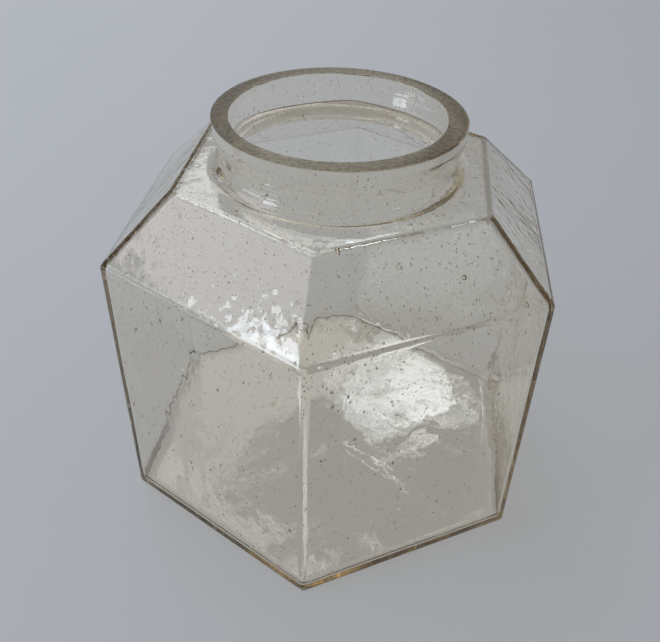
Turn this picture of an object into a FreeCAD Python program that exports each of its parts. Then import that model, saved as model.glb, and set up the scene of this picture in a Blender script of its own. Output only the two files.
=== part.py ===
"""Six-sided blown-glass jar with a round neck and a ground-off rim.

The jar is one piece of clear seeded glass: a straight six-sided body, six sloping
shoulder facets, a small six-sided deck and a short flared neck.  It is modelled as its
outer form, the mould's shape, minus the hollow inside, so every wall has a real thickness.

Frame: +Z up, origin at the centre of the base, one vertical edge facing -Y.
"""
import FreeCAD, Part
import Sketcher
import math
import os

NODE = "glass_jar"
SIDES = 6
TOLERANCE = 1e-4

# name of the cell, value in millimetres, what it is
DIMENSIONS = [
    ("body_corner_radius", 82.5, "outer corner radius of the six-sided body"),
    ("girdle_height", 103.5, "height where the upright walls end and the shoulder starts"),
    ("deck_corner_radius", 57.3, "outer corner radius of the flat deck"),
    ("deck_height", 126.0, "height of the deck"),
    ("overall_height", 143.0, "height of the ground rim"),
    ("side_wall", 2.3, "thickness of the upright walls and of the shoulder"),
    ("deck_wall", 2.3, "thickness of the deck"),
    ("base_wall", 1.5, "thickness of the base"),
    ("root_radius", 36.6, "outer radius of the neck's cone where it meets the deck"),
    ("lip_radius", 41.2, "outer radius of the neck at the rim"),
    ("lip_band", 5.0, "height of the straight band under the rim, outside"),
    ("throat_radius", 33.0, "inner radius of the neck under the deck"),
    ("mouth_radius", 35.2, "inner radius of the neck at the rim"),
    ("mouth_band", 5.0, "depth of the straight band under the rim, inside"),
    ("mouth_offset", -0.7, "sideways offset of the mouth: the neck's wall is uneven"),
    ("root_fillet", 5.0, "hollow rounding where the neck meets the deck"),
    ("flare_rounding", 8.0, "soft rounding where the cone runs into the straight band"),
    ("throat_rounding", 6.2, "rounding where the neck opens out under the deck"),
    ("rim_bevel", 0.4, "ground bevel on both edges of the rim"),
    ("edge_rounding", 2.4, "rounding of the level edges round the shoulder and the deck"),
    ("corner_rounding", 1.3, "rounding of the upright edges and of the shoulder's ridges"),
    ("base_edge_rounding", 2.5, "rounding of the edge round the base"),
    ("inner_edge_rounding", 2.6, "edge_rounding's counterpart inside the jar"),
    ("heel_rounding", 4.0, "rounding inside where the walls meet the base"),
]

BODY_RUN = f"(dims.body_corner_radius - dims.deck_corner_radius) * cos({180 / SIDES})"
BODY_RISE = "(dims.deck_height - dims.girdle_height)"
SLOPE = f"atan({BODY_RISE} / ({BODY_RUN}))"
SLANT_WALL = f"dims.side_wall / cos({SLOPE})"  # the shoulder's wall, measured upright


def make_dimension_sheet(document):
    sheet = document.addObject("Spreadsheet::Sheet", "dims")
    for row, (alias, value, meaning) in enumerate(DIMENSIONS, start=1):
        sheet.set(f"A{row}", meaning)
        sheet.set(f"B{row}", str(value))
        sheet.setAlias(f"B{row}", alias)
    document.recompute()
    return sheet


def origin_item(body, role):
    return next(item for item in body.Origin.OriginFeatures if item.Role == role)


def new_sketch(body, name, plane_role):
    sketch = body.newObject("Sketcher::SketchObject", name)
    sketch.AttachmentSupport = [(origin_item(body, plane_role), "")]
    sketch.MapMode = "FlatFace"
    return sketch


def bind(sketch, constraint, expression):
    """Add a named driving constraint and tie its value to the dimension sheet."""
    index = sketch.addConstraint(constraint)
    name = f"size_{index}"
    sketch.renameConstraint(index, name)
    sketch.setExpression(f"Constraints.{name}", expression)


def polygon_sketch(body, name, corner_radius, height):
    """A regular polygon about the origin with one corner on -Y, at the given height."""
    sketch = new_sketch(body, name, "XY_Plane")
    sketch.setExpression("AttachmentOffset.Base.z", height)
    radius = sketch.evalExpression(corner_radius)
    centre, up = FreeCAD.Vector(), FreeCAD.Vector(0, 0, 1)
    circle = sketch.addGeometry(Part.Circle(centre, up, radius), True)
    turn = FreeCAD.Rotation(up, 360 / SIDES)
    corners = [FreeCAD.Vector(0, -radius, 0)]
    for _ in range(SIDES):
        corners.append(turn.multVec(corners[-1]))
    lines = [
        sketch.addGeometry(Part.LineSegment(start, end), False)
        for start, end in zip(corners, corners[1:])
    ]
    sketch.addConstraint(Sketcher.Constraint("Coincident", circle, 3, -1, 1))
    sketch.addConstraint(Sketcher.Constraint("PointOnObject", lines[0], 1, -2))
    for line, following in zip(lines, lines[1:] + lines[:1]):
        sketch.addConstraint(Sketcher.Constraint("Coincident", line, 2, following, 1))
        sketch.addConstraint(Sketcher.Constraint("PointOnObject", line, 2, circle))
    for line in lines[1:-1]:
        sketch.addConstraint(Sketcher.Constraint("Equal", lines[0], line))
    bind(sketch, Sketcher.Constraint("Radius", circle, radius), corner_radius)
    return sketch


def half_profile_sketch(body, name, corners):
    """A closed outline of straight lines beside the Z axis, corners as (radius, height)."""
    sketch = new_sketch(body, name, "XZ_Plane")
    points = [
        FreeCAD.Vector(sketch.evalExpression(radius), sketch.evalExpression(height), 0)
        for radius, height in corners
    ]
    lines = [
        sketch.addGeometry(Part.LineSegment(start, end), False)
        for start, end in zip(points, points[1:] + points[:1])
    ]
    for line, following in zip(lines, lines[1:] + lines[:1]):
        sketch.addConstraint(Sketcher.Constraint("Coincident", line, 2, following, 1))
    for line, point, (radius, height) in zip(lines, points, corners):
        if radius == "0":
            sketch.addConstraint(Sketcher.Constraint("PointOnObject", line, 1, -2))
        else:
            bind(sketch, Sketcher.Constraint("DistanceX", -1, 1, line, 1, point.x), radius)
        bind(sketch, Sketcher.Constraint("DistanceY", -1, 1, line, 1, point.y), height)
    return sketch


def edge_names(feature, wanted):
    """The names of the feature's edges for which wanted(edge) is true."""
    feature.Document.recompute()
    edges = enumerate(feature.Shape.Edges, start=1)
    return [f"Edge{number}" for number, edge in edges if wanted(edge)]


def heights(edge):
    return [vertex.Point.z for vertex in edge.Vertexes]


def lies_at(height):
    return lambda edge: all(abs(z - height) < TOLERANCE for z in heights(edge))


def is_level(edge):
    return max(heights(edge)) - min(heights(edge)) < TOLERANCE


def climbs_a_corner(edge):
    """True for an edge that rises in the upright plane through one of the corners."""
    sector = 2 * math.pi / SIDES
    for vertex in edge.Vertexes:
        angle = math.atan2(vertex.Point.x, -vertex.Point.y) % sector
        if min(angle, sector - angle) > TOLERANCE:
            return False
    return not is_level(edge)


def ring_at(height, radius, centre_x=0.0):
    """True for a full circle about an upright axis, at that height and of that radius."""

    def wanted(edge):
        if edge.Degenerated or not isinstance(edge.Curve, Part.Circle):
            return False
        curve = edge.Curve
        return (
            abs(curve.Radius - radius) < TOLERANCE
            and abs(curve.Center.z - height) < TOLERANCE
            and abs(curve.Center.x - centre_x) < TOLERANCE
        )

    return wanted


def dress(body, kind, name, base, wanted, **sizes):
    """Add a Fillet or Chamfer to the wanted edges of base, with sizes bound to the sheet."""
    names = edge_names(base, wanted)
    if not names:
        raise RuntimeError(f"{name} finds no edge")
    feature = body.newObject(f"PartDesign::{kind}", name)
    feature.Base = (base, names)
    for size, expression in sizes.items():
        feature.setExpression(size, expression)
    body.Document.recompute()
    return feature


def faceted_block(body, corner_radius, foot, top, run, rise):
    """A six-sided block from foot to top whose upper edges are cut back to six facets."""
    outline = polygon_sketch(body, "plan", corner_radius, foot)
    block = body.newObject("PartDesign::Pad", "block")
    block.Profile = outline
    block.setExpression("Length", f"{top} - {foot}")
    body.Document.recompute()
    top_height = body.Shape.BoundBox.ZMax
    facets = dress(body, "Chamfer", "shoulder", block, lies_at(top_height))
    facets.ChamferType = "Two distances"
    facets.setExpression("Size", rise)
    facets.setExpression("Size2", run)
    body.Document.recompute()
    return facets


def round_edges(body, block, foot_height, level_rounding, foot_rounding):
    """Round the level edges of a faceted block, its foot, and then its six corners."""
    on_foot = lies_at(foot_height)
    rounded = dress(
        body, "Fillet", "level_edges", block, lambda edge: is_level(edge) and not on_foot(edge),
        Radius=level_rounding,
    )
    rounded = dress(body, "Fillet", "foot_edge", rounded, on_foot, Radius=foot_rounding)
    return dress(
        body, "Fillet", "corners", rounded, climbs_a_corner, Radius="dims.corner_rounding"
    )


def add_neck(body, name, corners, offset="0"):
    """Revolve the neck's half profile about the Z axis, or an upright axis beside it."""
    profile = half_profile_sketch(body, f"{name}_profile", corners)
    profile.setExpression("AttachmentOffset.Base.x", offset)
    neck = body.newObject("PartDesign::Revolution", name)
    neck.Profile = profile
    neck.ReferenceAxis = (profile, ["V_Axis"])
    neck.Angle = 360
    body.Document.recompute()
    return neck


def make_outer_form(document, sheet):
    body = document.addObject("PartDesign::Body", "outer_form")
    facets = faceted_block(
        body, "dims.body_corner_radius", "0", "dims.deck_height", BODY_RUN, BODY_RISE
    )
    round_edges(body, facets, 0, "dims.edge_rounding", "dims.base_edge_rounding")
    add_neck(
        body,
        "neck",
        [
            ("0", "dims.deck_height - dims.deck_wall"),
            ("dims.root_radius", "dims.deck_height - dims.deck_wall"),
            ("dims.root_radius", "dims.deck_height"),
            ("dims.lip_radius", "dims.overall_height - dims.lip_band"),
            ("dims.lip_radius", "dims.overall_height"),
            ("0", "dims.overall_height"),
        ],
    )
    root = ring_at(sheet.deck_height, sheet.root_radius)
    flare = ring_at(sheet.overall_height - sheet.lip_band, sheet.lip_radius)
    rim = ring_at(sheet.overall_height, sheet.lip_radius)
    neck = dress(body, "Fillet", "neck_root", body.Tip, root, Radius="dims.root_fillet")
    neck = dress(body, "Fillet", "neck_flare", neck, flare, Radius="dims.flare_rounding")
    dress(body, "Chamfer", "rim_bevel", neck, rim, Size="dims.rim_bevel")
    return body


def make_hollow(document, sheet):
    """The space inside: the outer form's planes moved in by the walls, and the mouth."""
    body = document.addObject("PartDesign::Body", "hollow")
    facets = faceted_block(
        body,
        f"dims.body_corner_radius - dims.side_wall / cos({180 / SIDES})",
        "dims.base_wall",
        "(dims.deck_height - dims.deck_wall)",
        f"{BODY_RUN} + ({SLANT_WALL} - dims.deck_wall) / tan({SLOPE}) - dims.side_wall",
        f"{BODY_RISE} - dims.deck_wall + {SLANT_WALL} - dims.side_wall * tan({SLOPE})",
    )
    round_edges(
        body, facets, sheet.base_wall, "dims.inner_edge_rounding", "dims.heel_rounding"
    )
    under_deck = sheet.deck_height - sheet.deck_wall
    mouth_foot = sheet.overall_height - sheet.mouth_band
    bore = add_neck(
        body,
        "bore",
        [
            ("0", "dims.deck_height - 2 * dims.deck_wall"),
            ("dims.throat_radius", "dims.deck_height - 2 * dims.deck_wall"),
            ("dims.throat_radius", "dims.deck_height - dims.deck_wall"),
            ("dims.mouth_radius", "dims.overall_height - dims.mouth_band"),
            ("dims.mouth_radius", "dims.overall_height - dims.rim_bevel"),
            ("dims.mouth_radius + dims.rim_bevel", "dims.overall_height"),
            ("0", "dims.overall_height"),
        ],
        "dims.mouth_offset",
    )
    throat = ring_at(under_deck, sheet.throat_radius, sheet.mouth_offset)
    flare = ring_at(mouth_foot, sheet.mouth_radius, sheet.mouth_offset)
    bore = dress(body, "Fillet", "throat", bore, throat, Radius="dims.throat_rounding")
    dress(body, "Fillet", "bore_flare", bore, flare, Radius="dims.flare_rounding")
    return body


def check(document):
    failed = [
        item.Name for item in document.Objects
        if {"Invalid", "Error"} & set(item.State)
    ]
    if failed:
        raise RuntimeError(f"these objects failed: {failed}")


def check_solid(name, shape):
    if shape.isNull() or not shape.isValid() or len(shape.Solids) != 1:
        raise RuntimeError(f"{name} is not one valid solid")


def main():
    document = FreeCAD.newDocument("six_sided_jar")
    sheet = make_dimension_sheet(document)
    outer_form = make_outer_form(document, sheet)
    hollow = make_hollow(document, sheet)
    jar = document.addObject("Part::Cut", NODE)
    jar.Label = NODE
    jar.Base = outer_form
    jar.Tool = hollow
    jar.Placement = FreeCAD.Placement()
    document.recompute()
    check(document)
    check_solid("the outer form", outer_form.Shape)
    check_solid("the hollow", hollow.Shape)
    check_solid(NODE, jar.Shape)
    os.makedirs("parts", exist_ok=True)
    jar.Shape.exportStep(f"parts/{NODE}.step")
    box = jar.Shape.BoundBox
    print(f"{NODE}: {jar.Shape.Volume / 1000:.0f} cm3 of glass,", end=" ")
    print(f"hollow {hollow.Shape.Volume / 1000:.0f} cm3,", end=" ")
    print(f"{box.XLength:.1f} x {box.YLength:.1f} x {box.ZLength:.1f} mm")


main()
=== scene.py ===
"""The hexagonal seeded-glass jar on a pale floor in soft studio light.

The CAD jar is one plain solid.  Here it is replaced by the same glass in more detail: walls
that waver a little, as blown glass does, softly rounded edges, seeds (small bubbles) in the
wall, a matt ground rim and a dark band of painted shade on the front of the foot, in place of
the foot's contact shadow.  Lengths are in metres, in the CAD's frame.

Known fault: the bubbles should all lie inside the glass, but some seeds in the base and one
side of the blister don't.  See SEED_LAYER and BLISTER_DISTANCE.
"""
import math

import bpy
import numpy as np
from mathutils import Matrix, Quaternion, Vector


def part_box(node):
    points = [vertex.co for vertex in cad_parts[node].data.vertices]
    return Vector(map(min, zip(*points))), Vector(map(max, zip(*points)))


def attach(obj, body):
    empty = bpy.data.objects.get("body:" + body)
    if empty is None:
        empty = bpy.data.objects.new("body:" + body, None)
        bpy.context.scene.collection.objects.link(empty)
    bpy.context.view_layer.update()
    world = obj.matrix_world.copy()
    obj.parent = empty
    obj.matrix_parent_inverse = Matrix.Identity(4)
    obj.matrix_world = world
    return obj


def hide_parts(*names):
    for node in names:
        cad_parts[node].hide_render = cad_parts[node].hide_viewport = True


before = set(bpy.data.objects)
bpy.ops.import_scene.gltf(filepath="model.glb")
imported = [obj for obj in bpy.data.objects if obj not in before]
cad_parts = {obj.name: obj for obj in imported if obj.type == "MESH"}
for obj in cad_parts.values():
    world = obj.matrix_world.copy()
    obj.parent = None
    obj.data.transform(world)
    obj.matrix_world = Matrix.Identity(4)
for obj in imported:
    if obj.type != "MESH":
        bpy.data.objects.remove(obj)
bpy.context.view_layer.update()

MM = 0.001

# ---------------------------------------------------------------- driving sizes
low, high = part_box("glass_jar")
HEIGHT = high[2]
APOTHEM = (high[0] - low[0]) / 2            # half the distance across the flats
GIRDLE = HEIGHT - 39.5 * MM                 # the upright walls end here
DECK = HEIGHT - 17 * MM
DECK_APOTHEM = APOTHEM - 21.8 * MM
LIP_RADIUS = 41.2 * MM
ROOT_RADIUS = 36.6 * MM
MOUTH_RADIUS = 35.2 * MM
THROAT_RADIUS = 33.0 * MM
ROOT_FILLET = 5.0 * MM
THROAT_ROUNDING = 6.2 * MM
MOUTH_OFFSET = -0.7 * MM                    # the mouth is a little off the neck's centre
SIDE_WALL = 2.3 * MM
DECK_WALL = 2.3 * MM
BASE_WALL = 1.5 * MM
LIP_BAND = 5.0 * MM                         # the upright part of the neck, under the rim
NECK_ROUNDING = 8.0 * MM                    # where the neck's flare meets the upright lip
BEVEL = 0.4 * MM                            # of the rim's edges
EDGE_ROUNDING = 2.4 * MM                    # of the shoulder's upper and lower edges
INNER_EDGE_ROUNDING = 2.6 * MM              # of the same edges inside
CORNER_ROUNDING = 1.3 * MM                  # of the upright edges
SHOULDER_ROUNDING = 2.6 * MM                # of the edges between the facets, at the deck
BASE_EDGE_ROUNDING = 2.5 * MM
HEEL_ROUNDING = 4.0 * MM                    # inside, where the walls meet the base

SIDES = 6
SIDE_ANGLE = math.radians(360 / SIDES)


# ---------------------------------------------------------------- small helpers
def smoothstep(low, high, value):
    t = np.clip((value - low) / (high - low), 0, 1)
    return t * t * (3 - 2 * t)


class Waves:
    """A smooth random field: the sum of plane waves whose lengths lie between two limits."""

    def __init__(self, seed, shortest, longest, count=48, stretch=(1, 1, 1)):
        draw = np.random.default_rng(seed)
        axis = draw.normal(size=(count, 3))
        axis /= np.linalg.norm(axis, axis=1)[:, None]
        length = np.exp(draw.uniform(math.log(shortest), math.log(longest), count))
        self.waves = axis * (2 * math.pi / length)[:, None] / np.array(stretch)
        self.phases = draw.uniform(0, 2 * math.pi, count)

    def at(self, points):
        """The field at the points, about -1 to 1."""
        angles = points @ self.waves.T + self.phases
        return np.sin(angles).sum(axis=1) / math.sqrt(len(self.phases))


# ---------------------------------------------------------------- the section through the wall
# Each corner of the section: distance from the axis (to a flat, where the plan is six-sided),
# height, rounding of the corner, and how round the plan is there: 0 six-sided, 1 circular.
SLOPE = math.atan2(DECK - GIRDLE, APOTHEM - DECK_APOTHEM)
SLANT_WALL = SIDE_WALL / math.cos(SLOPE)
INNER_DECK = DECK - DECK_WALL
INNER_GIRDLE = GIRDLE + SIDE_WALL * math.tan(SLOPE) - SLANT_WALL
INNER_DECK_APOTHEM = DECK_APOTHEM - (SLANT_WALL - DECK_WALL) / math.tan(SLOPE)

SECTION = [
    (0, 0, 0, 0),
    (APOTHEM, 0, BASE_EDGE_ROUNDING, 0),
    (APOTHEM, GIRDLE, EDGE_ROUNDING, 0),
    (DECK_APOTHEM, DECK, EDGE_ROUNDING, 0),
    (ROOT_RADIUS, DECK, ROOT_FILLET, 1),
    (LIP_RADIUS, HEIGHT - LIP_BAND, NECK_ROUNDING, 1),
    (LIP_RADIUS, HEIGHT - BEVEL, 0, 1),
    (LIP_RADIUS - BEVEL, HEIGHT, 0, 1),
    (MOUTH_RADIUS + BEVEL, HEIGHT, 0, 1),
    (MOUTH_RADIUS, HEIGHT - BEVEL, 0, 1),
    (MOUTH_RADIUS, HEIGHT - LIP_BAND, NECK_ROUNDING, 1),
    (THROAT_RADIUS, INNER_DECK, THROAT_ROUNDING, 1),
    (INNER_DECK_APOTHEM, INNER_DECK, INNER_EDGE_ROUNDING, 0),
    (APOTHEM - SIDE_WALL, INNER_GIRDLE, INNER_EDGE_ROUNDING, 0),
    (APOTHEM - SIDE_WALL, BASE_WALL, HEEL_ROUNDING, 0),
    (0, BASE_WALL, 0, 0),
]
FIRST_INNER_CORNER = 8                      # the rim's inner bevel starts here
FLAT_STEP = 2.0 * MM                        # between points on a straight stretch
END_STEP = 0.2 * MM                         # keeps the shading flat right up to a rounding
ARC_STEP = math.radians(12)                 # between points on a rounding


def rounded_path(corners):
    """Points (distance, height, roundness, side) along the section, its corners rounded.

    side is 0 on the outside of the jar and 1 inside it.
    """
    points = []

    def straight(start, end, w_start, w_end, side):
        run = np.subtract(end, start)
        length = math.hypot(*run)
        steps = max(1, round(length / FLAT_STEP))
        places = [step / steps for step in range(steps)]
        if length > 4 * END_STEP:
            places = [0, END_STEP / length, *places[1:], 1 - END_STEP / length]
        for t in places:
            points.append((*(start + run * t), w_start + (w_end - w_start) * t, side))

    here, w_here = np.array(corners[0][:2], float), corners[0][3]
    for i in range(1, len(corners) - 1):
        corner = np.array(corners[i][:2], float)
        radius, w = corners[i][2:]
        side = 0 if i < FIRST_INNER_CORNER else 1
        before = corner - np.array(corners[i - 1][:2])
        after = np.array(corners[i + 1][:2]) - corner
        before /= np.linalg.norm(before)
        after /= np.linalg.norm(after)
        turn = math.atan2(before[0] * after[1] - before[1] * after[0], before @ after)
        tangent = radius * math.tan(abs(turn) / 2)
        straight(here, corner - before * tangent, w_here, w, side)
        start = corner - before * tangent
        if radius:
            inward = np.array([-before[1], before[0]]) * math.copysign(1, turn)
            centre = start + inward * radius
            steps = max(2, round(abs(turn) / ARC_STEP))
            for step in range(steps):
                a = turn * step / steps
                spoke = start - centre
                turned = (
                    spoke[0] * math.cos(a) - spoke[1] * math.sin(a),
                    spoke[0] * math.sin(a) + spoke[1] * math.cos(a),
                )
                points.append((*(centre + turned), w, side))
        here, w_here = corner + after * tangent, w
    straight(here, np.array(corners[-1][:2], float), w_here, corners[-1][3], 1)
    points.append((*corners[-1][:2], corners[-1][3], 1))
    return np.array(points)


# ---------------------------------------------------------------- the plan
COLUMNS_PER_SIDE = 46
CORNER_CROWDING = 0.62                      # 0 spreads the columns evenly
ROUNDING_SHARE = 0.3                        # the most rounding, as a share of the distance


def column_angles():
    """Angles of the mesh's columns, closer together at the six corners."""
    t = np.arange(COLUMNS_PER_SIDE) / COLUMNS_PER_SIDE
    crowded = t - CORNER_CROWDING * np.sin(2 * math.pi * t) / (2 * math.pi)
    corners = np.arange(SIDES)[:, None]
    return ((corners + crowded) * SIDE_ANGLE - math.pi / 2).ravel()


def hexagon_radius(angles, apothem, rounding):
    """Distance from the axis to a hexagon with rounded corners, one of them on -Y."""
    from_corner = (angles + math.pi / 2 + SIDE_ANGLE / 2) % SIDE_ANGLE - SIDE_ANGLE / 2
    delta = np.abs(from_corner)
    flat = apothem / np.cos(SIDE_ANGLE / 2 - delta)
    centre = (apothem - rounding) / math.cos(SIDE_ANGLE / 2)
    tangent_x = centre + rounding * math.cos(SIDE_ANGLE / 2)
    tangent = math.atan2(rounding * math.sin(SIDE_ANGLE / 2), tangent_x)
    inside = np.clip(rounding**2 - (centre * np.sin(delta)) ** 2, 0, None)
    return np.where(delta < tangent, centre * np.cos(delta) + np.sqrt(inside), flat)


def corner_rounding(distance, height):
    """The plan's corner rounding: more up the shoulder, and less close to the axis."""
    softer = smoothstep(GIRDLE, DECK, height) * (SHOULDER_ROUNDING - CORNER_ROUNDING)
    return min(CORNER_ROUNDING + softer, ROUNDING_SHARE * distance)


def wall_points(path, angles):
    """The grid of points, one ring for each point of the path but the two on the axis."""
    rings = []
    for distance, height, roundness, side in path:
        hexagon = hexagon_radius(angles, distance, corner_rounding(distance, height))
        radius = (1 - roundness) * hexagon + roundness * distance
        ring = np.stack(
            [radius * np.cos(angles), radius * np.sin(angles), np.full_like(angles, height)],
            axis=1,
        )
        if side:
            ring[:, 0] += MOUTH_OFFSET * roundness
        rings.append(ring)
    return np.array(rings)


def grid_normals(grid):
    """Unit normals of a closed-round grid of rings, out of the glass."""
    along = np.roll(grid, -1, axis=1) - np.roll(grid, 1, axis=1)
    up = np.empty_like(grid)
    up[1:-1] = grid[2:] - grid[:-2]
    up[0] = grid[1] - grid[0]
    up[-1] = grid[-1] - grid[-2]
    normals = np.cross(along, up)
    return normals / np.linalg.norm(normals, axis=2)[..., None]


# ---------------------------------------------------------------- waver of the walls
RIPPLE = Waves(11, 8 * MM, 26 * MM, 64)
RIPPLE_HEIGHT = 0.018 * MM
RIPPLE_INNER_SHIFT = 0.37                   # moves the inner wall's waves away from the outer's
SWELL = Waves(12, 30 * MM, 80 * MM, 40)
SWELL_HEIGHT = 0.10 * MM
SWELL_INNER_SHIFT = 0.61
OUTER_SWELL = 0.25                          # the outside swells less than the inside
OUTER_CLEARANCE = 0.02 * MM
STILL_RIM = (HEIGHT - 4 * MM, HEIGHT - 0.5 * MM)    # the waver dies out between these


def waver(grid, normals, sides):
    """Move the walls in and out a little, never past the CAD model's outside."""
    flat = grid.reshape(-1, 3)
    inner = np.repeat(sides, grid.shape[1])
    ripple = RIPPLE.at(flat + inner[:, None] * RIPPLE_INNER_SHIFT)
    swell = SWELL.at(flat + inner[:, None] * SWELL_INNER_SHIFT)
    near_rim = smoothstep(*STILL_RIM, flat[:, 2])
    swell_share = OUTER_SWELL + (1 - OUTER_SWELL) * inner
    amount = RIPPLE_HEIGHT * ripple + SWELL_HEIGHT * swell * swell_share
    amount -= OUTER_CLEARANCE * (inner == 0)
    outside_limit = np.where(inner > 0, np.inf, 0.0)
    amount = np.minimum(amount, outside_limit) * (1 - near_rim)
    return grid + (normals.reshape(-1, 3) * amount[:, None]).reshape(grid.shape)


# ---------------------------------------------------------------- seeds
SEED_COVER = 0.15 * MM                      # the least glass over a seed
SEED_LAYER = 2.0 * MM                       # fits the walls, but is deeper than BASE_WALL
SEED_FLATNESS = 0.8                         # a seed's thickness through the wall to its width
SEED_LEAN = 0.2                             # how far the long axes stray from upright
SEEDLESS_RIM = 2 * MM                       # no seed lies this close under the rim

BLISTER_ANGLE = math.radians(203)           # the large bubble beside the neck
BLISTER_DISTANCE = ROOT_RADIUS + 1.8 * MM   # too near the throat's rounding, which it breaks
BLISTER_LEVEL = DECK - 1.15 * MM
BLISTER_HALF_AXES = (4.0 * MM, 2.1 * MM, 0.8 * MM)


def icosphere(level):
    """Points and triangles of a unit sphere, the triangles facing inwards."""
    gold = (1 + math.sqrt(5)) / 2
    points = [
        (-1, gold, 0), (1, gold, 0), (-1, -gold, 0), (1, -gold, 0),
        (0, -1, gold), (0, 1, gold), (0, -1, -gold), (0, 1, -gold),
        (gold, 0, -1), (gold, 0, 1), (-gold, 0, -1), (-gold, 0, 1),
    ]
    points = [np.array(p) / np.linalg.norm(p) for p in points]
    faces = [
        (0, 11, 5), (0, 5, 1), (0, 1, 7), (0, 7, 10), (0, 10, 11),
        (1, 5, 9), (5, 11, 4), (11, 10, 2), (10, 7, 6), (7, 1, 8),
        (3, 9, 4), (3, 4, 2), (3, 2, 6), (3, 6, 8), (3, 8, 9),
        (4, 9, 5), (2, 4, 11), (6, 2, 10), (8, 6, 7), (9, 8, 1),
    ]
    for _ in range(level):
        middles, finer = {}, []

        def middle(a, b):
            key = (min(a, b), max(a, b))
            if key not in middles:
                point = points[a] + points[b]
                middles[key] = len(points)
                points.append(point / np.linalg.norm(point))
            return middles[key]

        for a, b, c in faces:
            ab, bc, ca = middle(a, b), middle(b, c), middle(c, a)
            finer += [(a, ab, ca), (b, bc, ab), (c, ca, bc), (ab, bc, ca)]
        faces = finer
    return np.array(points), np.array(faces)[:, ::-1]


def axes_at(normals, draw):
    """For each normal, unit axes along the wall (nearly upright), across it and through it."""
    up = np.array([0.0, 0.0, 1.0]) + SEED_LEAN * draw.normal(size=normals.shape)
    along = up - (up * normals).sum(axis=1)[:, None] * normals
    along /= np.linalg.norm(along, axis=1)[:, None]
    return np.stack([along, np.cross(normals, along), normals], axis=1)


def scatter(grid, normals, count, draw, where):
    """Random points on the outside, evenly by area times where(points), with normals."""
    corner, across, up = grid[:-1, :], np.roll(grid, -1, axis=1)[:-1, :], grid[1:, :]
    area = np.linalg.norm(np.cross(across - corner, up - corner), axis=2)
    weight = (area * where(corner.reshape(-1, 3)).reshape(area.shape)).ravel()
    cell = draw.choice(len(weight), count, p=weight / weight.sum())
    u, v = draw.random((2, count, 1))
    corner, across, up = (a.reshape(-1, 3)[cell] for a in (corner, across, up))
    points = corner + u * (across - corner) + v * (up - corner)
    return points, normals[:-1].reshape(-1, 3)[cell]


def seeds(grid, normals, count, radius, level, draw, where, stretch=1.5):
    """Small bubbles in the wall: points and inward-facing triangles.

    radius holds the smallest and largest, and small ones are the more common.  stretch is
    the middle length of a bubble as a multiple of its width.
    """
    points, normals = scatter(grid, normals, count, draw, where)
    size = radius[0] * (radius[1] / radius[0]) ** (draw.random(count) ** 1.6)
    length = size * (1 + (stretch - 1) * draw.random(count) * 2)
    depth = size + SEED_COVER + draw.random(count) * np.maximum(0, SEED_LAYER - 2 * size)
    centres = points - normals * depth[:, None]
    axes = axes_at(normals, draw)
    ball, faces = icosphere(level)
    scaled = ball[None] * np.stack([length, size, size * SEED_FLATNESS], axis=1)[:, None]
    cloud = np.einsum("nki,nij->nkj", scaled, axes) + centres[:, None]
    offsets = np.arange(count)[:, None, None] * len(ball)
    return cloud.reshape(-1, 3), (faces[None] + offsets).reshape(-1, 3)


def blister(angle, distance, height, half_axes):
    """One large flattened bubble, whose half axes run round the jar, outwards and upwards."""
    ball, faces = icosphere(3)
    outward = np.array([math.cos(angle), math.sin(angle), 0.0])
    around = np.array([math.sin(angle), -math.cos(angle), 0.0])
    axes = np.stack([around, outward, (0.0, 0.0, 1.0)])
    centre = outward * distance + np.array([0.0, 0.0, height])
    return (ball * np.array(half_axes)) @ axes + centre, faces


# ---------------------------------------------------------------- the glass
SHARPEST_SMOOTH_EDGE = math.radians(43)     # keeps the rim's bevels crisp
FOOT_SHADE_FRONT = (15 * MM, -25 * MM)           # the painted shade on the foot sets in between these, along Y, darkest on the front
FOOT_SHADE_TOP = (2.6 * MM, 1.9 * MM)            # and between these heights
FOOT_SHADE_REACH = 0.975                         # it is on the outer edge only, not inside the heel


def shell_faces(rings, columns):
    """Quads between the rings, and a fan of triangles round each pole."""
    index = np.arange(rings * columns).reshape(rings, columns)
    right = np.roll(index, -1, axis=1)
    quads = np.stack([index[:-1], right[:-1], right[1:], index[1:]], axis=2).reshape(-1, 4)
    bottom, top = rings * columns, rings * columns + 1
    first = np.stack([np.full(columns, bottom), right[0], index[0]], axis=1)
    last = np.stack([np.full(columns, top), index[-1], right[-1]], axis=1)
    return quads.tolist() + first.tolist() + last.tolist()


def add_piece(name, points, faces):
    """A smooth-shaded piece of glass that belongs to the jar's body."""
    mesh = bpy.data.meshes.new(name)
    mesh.from_pydata(points.tolist(), [], faces)
    mesh.shade_smooth()
    mesh.update()
    piece = bpy.data.objects.new(name, mesh)
    bpy.context.scene.collection.objects.link(piece)
    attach(piece, "root")
    return piece


def add_attribute(piece, name, values):
    attribute = piece.data.attributes.new(name, "FLOAT", "POINT")
    attribute.data.foreach_set("value", values.astype(np.float32))


def make_grid():
    """The rings of the glass's whole skin, and for each ring its side: 0 outer, 1 inner."""
    path = rounded_path(SECTION)[1:-1]
    grid = wall_points(path, column_angles())
    return waver(grid, grid_normals(grid), path[:, 3]), path[:, 3]


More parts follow.
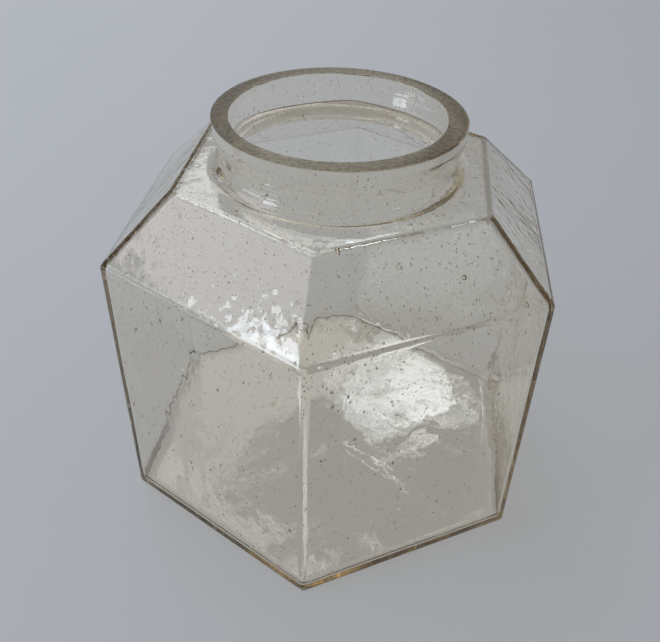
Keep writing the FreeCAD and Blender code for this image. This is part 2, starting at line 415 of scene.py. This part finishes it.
def make_jar(grid):
    """The jar's skin, with the ground rim and a band of painted shade, for the foot's contact
    shadow, marked on the front of the foot's edge.
    """
    points = np.concatenate([grid.reshape(-1, 3), [(0, 0, 0), (0, 0, BASE_WALL)]])
    jar = add_piece("jar_glass", points, shell_faces(*grid.shape[:2]))
    jar.data.set_sharp_from_angle(angle=SHARPEST_SMOOTH_EDGE)
    add_attribute(jar, "ground", points[:, 2] > HEIGHT - 0.01 * MM)
    angles = np.arctan2(points[:, 1], points[:, 0])
    reach = np.hypot(points[:, 0], points[:, 1]) / hexagon_radius(angles, APOTHEM, 0)
    front = smoothstep(*FOOT_SHADE_FRONT, points[:, 1])
    low_down = smoothstep(*FOOT_SHADE_TOP, points[:, 2])
    # painted shade along the front of the foot's outer edge, standing in for its contact shadow
    add_attribute(jar, "foot_shade", front * low_down * (reach > FOOT_SHADE_REACH))
    return jar


# The next three say how thickly the seeds of a group lie at the points p.
def everywhere(p):
    below_lip = p[:, 2] < HEIGHT - LIP_BAND
    return (0.4 + below_lip) * (p[:, 2] < HEIGHT - SEEDLESS_RIM)


def upper_part(p):
    return everywhere(p) * (0.35 + smoothstep(GIRDLE - 30 * MM, GIRDLE + 8 * MM, p[:, 2]))


def neck(p):
    on_neck = smoothstep(DECK - 3 * MM, DECK + 3 * MM, p[:, 2])
    return (0.1 + on_neck) * (p[:, 2] < HEIGHT - SEEDLESS_RIM)


def make_seeds(grid, sides):
    """All the bubbles as one piece, from the smallest seeds to the one large blister."""
    outer = int((sides == 0).sum())
    shell = grid[:outer], grid_normals(grid)[:outer]
    draw = np.random.default_rng(5)
    groups = [
        seeds(*shell, 6300, (0.14 * MM, 0.27 * MM), 0, draw, upper_part, 1.4),
        seeds(*shell, 500, (0.11 * MM, 0.17 * MM), 0, draw, neck, 4.0),
        seeds(*shell, 330, (0.27 * MM, 0.45 * MM), 1, draw, everywhere),
        seeds(*shell, 45, (0.45 * MM, 0.85 * MM), 2, draw, everywhere),
        blister(BLISTER_ANGLE, BLISTER_DISTANCE, BLISTER_LEVEL, BLISTER_HALF_AXES),
    ]
    points, faces, start = [], [], 0
    for cloud, triangles in groups:
        points.append(cloud)
        faces += (triangles + start).tolist()
        start += len(cloud)
    return add_piece("seeds", np.concatenate(points), faces)


# ---------------------------------------------------------------- materials
class Shader:
    """A short way to add and join the nodes of one material."""

    def __init__(self, name):
        self.material = bpy.data.materials.new(name)
        self.material.use_nodes = True
        self.nodes = self.material.node_tree.nodes
        self.links = self.material.node_tree.links
        self.nodes.clear()
        self.output = self.add("ShaderNodeOutputMaterial")

    def add(self, kind, inputs=None, **settings):
        node = self.nodes.new(kind)
        for key, value in settings.items():
            setattr(node, key, value)
        for key, value in (inputs or {}).items():
            if isinstance(value, bpy.types.NodeSocket):
                self.links.new(value, node.inputs[key])
            else:
                node.inputs[key].default_value = value
        return node

    def math(self, operation, *values):
        node = self.add("ShaderNodeMath", dict(enumerate(values)), operation=operation)
        return node.outputs[0]

    def noise(self, scale, detail=2.0, roughness=0.5, vector=None):
        inputs = {"Scale": scale, "Detail": detail, "Roughness": roughness}
        if vector is not None:
            inputs["Vector"] = vector
        return self.add("ShaderNodeTexNoise", inputs).outputs["Fac"]

    def ramp(self, value, low, high, to_low=0.0, to_high=1.0):
        inputs = {"Value": value, "From Min": low, "From Max": high}
        inputs.update({"To Min": to_low, "To Max": to_high})
        return self.add("ShaderNodeMapRange", inputs).outputs["Result"]

    def bump(self, height, strength, distance):
        inputs = {"Strength": strength, "Distance": distance, "Height": height}
        return self.add("ShaderNodeBump", inputs).outputs["Normal"]

    def attribute(self, name):
        return self.add("ShaderNodeAttribute", attribute_name=name).outputs["Fac"]

    # The Mix node has a set of sockets for each data type, and they share their names, so
    # they are picked by number here.
    def mix_vectors(self, factor, first, second):
        inputs = {0: factor, 4: first, 5: second}
        return self.add("ShaderNodeMix", inputs, data_type="VECTOR").outputs[1]

    def mix_colours(self, factor, first, second):
        inputs = {0: factor, 6: first, 7: second}
        return self.add("ShaderNodeMix", inputs, data_type="RGBA").outputs[2]


IOR = 1.52
LIGHT_THROUGH_ONE_FACE = (0.975, 0.967, 0.955, 1)   # the share of a lamp's light
CLEAR_FACE = (0.995, 0.975, 0.93, 1)
# painted shade: the dark band on the foot's front edge, in place of its contact shadow
FOOT_SHADE_COLOUR = (0.12, 0.09, 0.05, 1)
RIM_SHADE_DARK = (0.18, 0.15, 0.1, 1)                 # the darker and the paler mottles of the rim: painted shade for the light that the ground rim loses inside the neck's wall, mottled at random
RIM_SHADE_PALE = (0.58, 0.52, 0.38, 1)
TINT = (0.90, 0.869, 0.80, 1)                   # what light turns to in the depth of the glass
TINT_DENSITY = 92.0
PAPER_DARK = (0.65, 0.675, 0.71, 1)
PAPER_PALE = (0.69, 0.715, 0.75, 1)


def see_through_for_lamps(s, glass):
    """Join the glass to the output, but let the light of lamps straight through it."""
    path = s.add("ShaderNodeLightPath")
    lit = s.math("MAXIMUM", path.outputs["Is Shadow Ray"], path.outputs["Is Diffuse Ray"])
    clear = s.add("ShaderNodeBsdfTransparent", {"Color": LIGHT_THROUGH_ONE_FACE})
    surface = s.add("ShaderNodeMixShader", {0: lit, 1: glass.outputs[0], 2: clear.outputs[0]})
    s.links.new(surface.outputs[0], s.output.inputs["Surface"])


def skin_height(s, place):
    """The waves in the skin of the glass, drawn upwards.

    They are strongest on the shoulder, and calm on the base, the deck and the neck.
    """
    drawn = s.add(
        "ShaderNodeVectorMath", {0: place, 1: (1, 1, 0.5)}, operation="MULTIPLY"
    ).outputs[0]
    height = s.noise(300, 0.8, 0.4, drawn)
    level = s.add("ShaderNodeSeparateXYZ", {0: place}).outputs["Z"]
    calm_neck = s.ramp(level, DECK, DECK + 5 * MM, 1.0, 0.4)
    calm_base = s.ramp(level, 2 * MM, 4 * MM, 0.5, 1.0)
    pebbled_shoulder = s.ramp(level, GIRDLE - 1 * MM, GIRDLE + 1 * MM, 1.0, 2.2)
    calm_deck = s.ramp(level, DECK - 4 * MM, DECK - 1 * MM, 1.0, 0.4)
    height = s.math("MULTIPLY", height, s.math("MULTIPLY", calm_neck, calm_base))
    return s.math("MULTIPLY", height, s.math("MULTIPLY", pebbled_shoulder, calm_deck))


def glass_material():
    """Clear glass with a faint warm tint.

    It is matt where the attribute "ground" is 1, and darkened with painted shade, in place of
    the foot's contact shadow, where the foot's shade attribute is 1.
    """
    s = Shader("seeded_glass")
    place = s.add("ShaderNodeTexCoord").outputs["Object"]
    is_ground = s.math("GREATER_THAN", s.attribute("ground"), 0.5)
    grit = s.noise(4200, 3.0, 0.6, place)           # the ground rim's grain
    skin = s.bump(skin_height(s, place), 1.0, 0.045 * MM)
    grain = s.bump(grit, 0.6, 0.05 * MM)
    # the rim's dark olive is painted shade for light lost in the neck's wall; this noise mottles
    # it at random
    rim_mottle = s.noise(700, 4.0, 0.65, place)
    rim_colour = s.mix_colours(s.ramp(rim_mottle, 0.38, 0.62), RIM_SHADE_DARK, RIM_SHADE_PALE)
    # painted shade on the foot's front edge, standing in for its contact shadow
    face_colour = s.mix_colours(s.attribute("foot_shade"), CLEAR_FACE, FOOT_SHADE_COLOUR)
    glass = s.add(
        "ShaderNodeBsdfPrincipled",
        {
            "Base Color": s.mix_colours(is_ground, face_colour, rim_colour),
            "Roughness": s.math("MULTIPLY", is_ground, s.ramp(grit, 0.3, 0.7, 0.42, 0.6)),
            "IOR": IOR,
            "Transmission Weight": 1.0,
            "Normal": s.mix_vectors(is_ground, skin, grain),
        },
    )
    tint = s.add("ShaderNodeVolumeAbsorption", {"Color": TINT, "Density": TINT_DENSITY})
    s.links.new(tint.outputs[0], s.output.inputs["Volume"])
    see_through_for_lamps(s, glass)
    return s.material


def seed_material():
    """The inside face of a bubble; the mesh faces inwards, so the glass lies behind it."""
    s = Shader("bubble_face")
    glass = s.add(
        "ShaderNodeBsdfPrincipled",
        {"Base Color": (1, 1, 1, 1), "Roughness": 0.0, "IOR": IOR, "Transmission Weight": 1.0},
    )
    see_through_for_lamps(s, glass)
    return s.material


def floor_material():
    s = Shader("pale_paper")
    place = s.add("ShaderNodeTexCoord").outputs["Object"]
    colour = s.mix_colours(s.noise(3.0, 3.0, 0.5, place), PAPER_DARK, PAPER_PALE)
    grain = s.bump(s.noise(900, 3.0, 0.6, place), 0.3, 0.1 * MM)
    paper = s.add(
        "ShaderNodeBsdfPrincipled", {"Base Color": colour, "Roughness": 0.9, "Normal": grain}
    )
    s.links.new(paper.outputs[0], s.output.inputs["Surface"])
    return s.material


# ---------------------------------------------------------------- room
FLOOR_HALF = 3.0
FLOOR_LEVEL = -0.05 * MM                        # just clear of the foot
WORLD_COLOUR = (1, 0.98, 0.96, 1)
WORLD_STRENGTH = 0.24
SKY = (0.76, 0.88, 1)                           # the colours of the lights
WALL = (0.93, 0.96, 1)
GLOW = (1, 0.96, 1)


def make_floor():
    mesh = bpy.data.meshes.new("floor")
    corners = [(-1, -1), (1, -1), (1, 1), (-1, 1)]
    points = [(x * FLOOR_HALF, y * FLOOR_HALF, FLOOR_LEVEL) for x, y in corners]
    mesh.from_pydata(points, [], [(0, 1, 2, 3)])
    mesh.materials.append(floor_material())
    floor = bpy.data.objects.new("floor", mesh)
    bpy.context.scene.collection.objects.link(floor)


def softbox(name, azimuth, elevation, roll, distance, width, height, radiance, colour):
    """A rectangular light that faces the jar.

    All angles are in degrees.  azimuth is to the right of straight ahead, as the camera sees
    it, and width and height are the angles that the light fills, seen from the jar.
    """
    light = bpy.data.lights.new(name, "AREA")
    light.shape = "RECTANGLE"
    light.size = 2 * distance * math.tan(math.radians(width / 2))
    light.size_y = 2 * distance * math.tan(math.radians(height / 2))
    light.energy = radiance * math.pi * light.size * light.size_y
    light.color = colour
    lamp = bpy.data.objects.new(name, light)
    a, e = math.radians(90 - azimuth + CAMERA_AZIMUTH), math.radians(elevation)
    way = Vector((math.cos(e) * math.cos(a), math.cos(e) * math.sin(a), math.sin(e)))
    lamp.location = Vector((0, 0, HEIGHT / 2)) + way * distance
    turn = Quaternion((0, 0, 1), math.radians(roll))
    lamp.rotation_euler = (way.to_track_quat("Z", "Y") @ turn).to_euler()
    bpy.context.scene.collection.objects.link(lamp)


def make_lights():
    """Windows and pale surfaces on the left, and one more window behind the jar."""
    world = bpy.data.worlds.new("room")
    world.use_nodes = True
    background = world.node_tree.nodes["Background"]
    background.inputs["Color"].default_value = WORLD_COLOUR
    background.inputs["Strength"].default_value = WORLD_STRENGTH
    bpy.context.scene.world = world
    softbox("left_window", -114, 27, 0, 2.2, 15, 15, 7.0, SKY)
    softbox("left_low", -100, 9, 0, 2.2, 26, 10, 3.0, SKY)
    softbox("left_glow", -90, 42, 0, 2.2, 34, 26, 1.7, GLOW)
    softbox("back_window", 7.6, 40.2, 38, 2.0, 8.4, 9.0, 3.8, SKY)
    softbox("window_wing", 8.6, 41.4, -3, 2.05, 14.5, 3.4, 2.2, SKY)
    softbox("window_core", 9.2, 40.6, 38, 1.9, 4.0, 5.0, 2.4, SKY)
    softbox("pale_wall", -21.5, 42.2, 32, 2.2, 36, 16.5, 1.6, WALL)
    softbox("pale_ceiling", -32.6, 60.2, 32, 2.2, 30, 23, 2.1, WALL)


# ---------------------------------------------------------------- camera
CAMERA_AZIMUTH = 5.6                            # degrees to the right of the edge on -Y
CAMERA_ELEVATION = 37.99
CAMERA_DISTANCE = 298.4 * MM                    # from the point it looks at, on the axis
CAMERA_AIM_HEIGHT = 57.3 * MM
CAMERA_ROLL = 1.8
CAMERA_SHIFT = (-0.006, 0.0028)
LENS = 41.76                                    # focal length and frame width, in mm
FRAME_WIDTH = 36


def make_camera():
    data = bpy.data.cameras.new("camera")
    data.sensor_width, data.lens = FRAME_WIDTH, LENS
    data.shift_x, data.shift_y = CAMERA_SHIFT
    data.clip_start = 10 * MM
    camera = bpy.data.objects.new("camera", data)
    a, e = math.radians(CAMERA_AZIMUTH), math.radians(CAMERA_ELEVATION)
    back = Vector((math.cos(e) * math.sin(a), -math.cos(e) * math.cos(a), math.sin(e)))
    camera.location = Vector((0, 0, CAMERA_AIM_HEIGHT)) + back * CAMERA_DISTANCE
    look = back.to_track_quat("Z", "Y")
    roll = Quaternion((0, 0, 1), math.radians(CAMERA_ROLL))
    camera.rotation_euler = (look @ roll).to_euler()
    bpy.context.scene.collection.objects.link(camera)
    bpy.context.scene.camera = camera


BOUNCES = 80            # light runs along inside the walls, and turns the edges brown, not black
SEE_THROUGH_FACES = 32


def set_up_light_paths():
    scene = bpy.context.scene
    scene.view_settings.view_transform = "Standard"
    scene.cycles.max_bounces = BOUNCES
    scene.cycles.transmission_bounces = BOUNCES
    scene.cycles.glossy_bounces = BOUNCES
    scene.cycles.transparent_max_bounces = SEE_THROUGH_FACES
    scene.cycles.caustics_reflective = False
    scene.cycles.caustics_refractive = False


def main():
    make_camera()
    make_lights()
    make_floor()
    set_up_light_paths()
    grid, sides = make_grid()
    jar = make_jar(grid)
    jar.data.materials.append(glass_material())
    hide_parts("glass_jar")
    bubbles = make_seeds(grid, sides)
    bubbles.data.materials.append(seed_material())


main()
